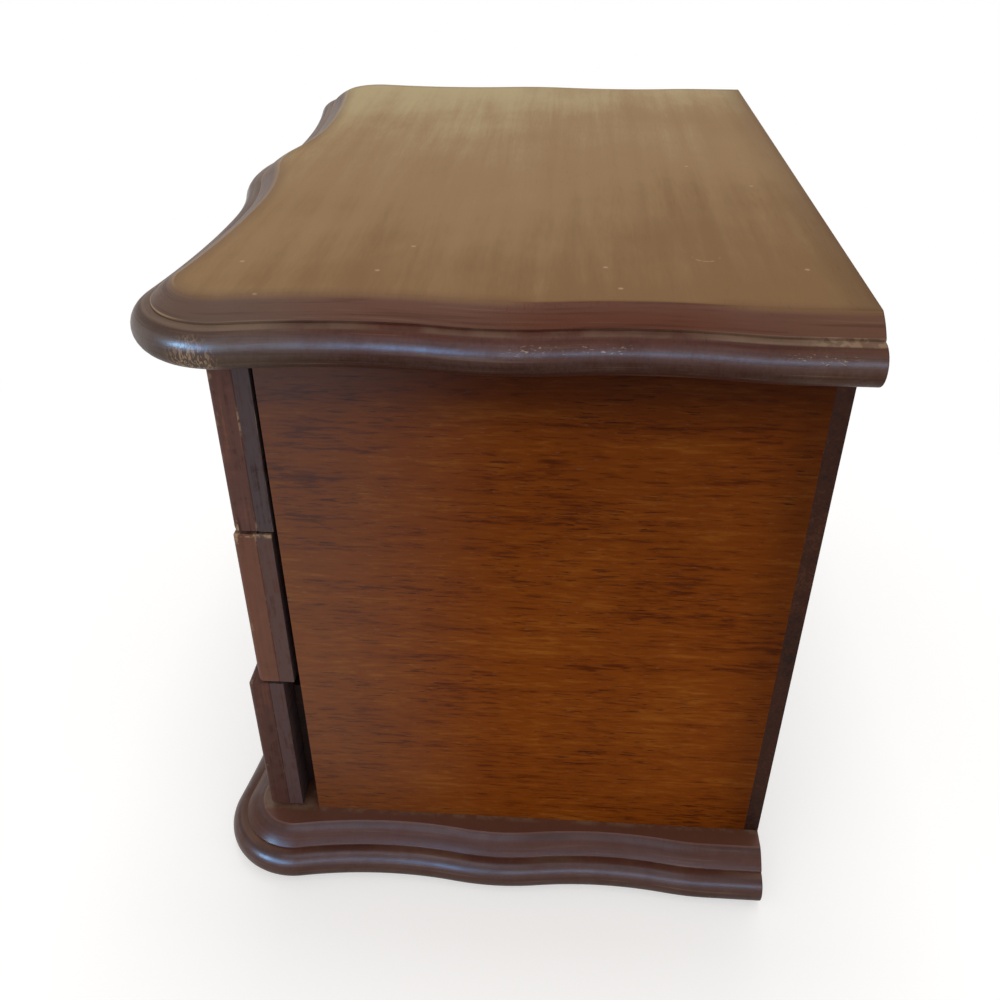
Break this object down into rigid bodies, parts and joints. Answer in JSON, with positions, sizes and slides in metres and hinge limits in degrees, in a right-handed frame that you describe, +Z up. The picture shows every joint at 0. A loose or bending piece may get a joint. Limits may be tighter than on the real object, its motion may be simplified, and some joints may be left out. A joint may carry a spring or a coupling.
{
  "type": "jewelry box with drawers",
  "caption": "Wooden jewelry box: a plain case with a stack of lined drawers between a serpentine moulded top and base, with grooved drawer fronts and turned knobs.",
  "frame": {"origin": "under the middle of the footprint, on the surface the base stands on", "axes": "+X to the right seen from the front, +Y towards the back, +Z up; the drawers open towards -Y"},
  "size_m": [0.328, 0.2242, 0.252],
  "materials": {
    "top_wood": "satin brown lacquer, worn pale along its edges",
    "base_wood": "satin dark brown lacquer",
    "side_wood": "satin mahogany stain over fine open grain",
    "back_wood": "dull dark brown stain",
    "front_wood": "satin dark mahogany lacquer",
    "backing_wood": "dull dark stain",
    "knob_wood": "satin dark mahogany lacquer",
    "inner_wood": "plain sanded hardwood and plywood",
    "velvet": "short-pile wine red velvet",
    "steel": "yellow-passivated steel"
  },
  "bodies": {
    "carcass": {"top_board": "top_wood", "base_board": "base_wood", "side_panel_left": "side_wood", "side_panel_right": "side_wood", "back_panel": "back_wood", "floor_panel": "inner_wood", "shelf_lower": "inner_wood", "shelf_upper": "inner_wood", "top_dowels": "inner_wood", "base_screws": "steel", "back_brads": "steel"},
    "drawer_bottom": {"drawer_bottom_face": "front_wood", "drawer_bottom_backing": "backing_wood", "drawer_bottom_side_left": "inner_wood", "drawer_bottom_side_right": "inner_wood", "drawer_bottom_back": "inner_wood", "drawer_bottom_floor": "inner_wood", "drawer_bottom_pad": "velvet", "drawer_bottom_knob_left": "knob_wood", "drawer_bottom_knob_right": "knob_wood", "drawer_bottom_knob_screws": "steel"},
    "drawer_middle": {"drawer_middle_face": "front_wood", "drawer_middle_backing": "backing_wood", "drawer_middle_side_left": "inner_wood", "drawer_middle_side_right": "inner_wood", "drawer_middle_back": "inner_wood", "drawer_middle_floor": "inner_wood", "drawer_middle_pads": "velvet", "drawer_middle_divider_left": "inner_wood", "drawer_middle_divider_right": "inner_wood", "drawer_middle_knob_left": "knob_wood", "drawer_middle_knob_right": "knob_wood", "drawer_middle_knob_screws": "steel"},
    "drawer_top": {"drawer_top_face": "front_wood", "drawer_top_backing": "backing_wood", "drawer_top_side_left": "inner_wood", "drawer_top_side_right": "inner_wood", "drawer_top_back": "inner_wood", "drawer_top_floor": "inner_wood", "drawer_top_pad": "velvet", "drawer_top_ring_rolls": "velvet", "drawer_top_divider": "inner_wood", "drawer_top_knob_left": "knob_wood", "drawer_top_knob_right": "knob_wood", "drawer_top_knob_screws": "steel"}
  },
  "joints": [
    {"name": "drawer_bottom_slide", "type": "slide", "parent": "carcass", "child": "drawer_bottom", "axis": [0, -1, 0], "range_m": [-0.0065, 0.1185]},
    {"name": "drawer_middle_slide", "type": "slide", "parent": "carcass", "child": "drawer_middle", "axis": [0, -1, 0], "range_m": [-0.002, 0.123]},
    {"name": "drawer_top_slide", "type": "slide", "parent": "carcass", "child": "drawer_top", "axis": [0, -1, 0], "range_m": [-0.001, 0.124]}
  ]
}
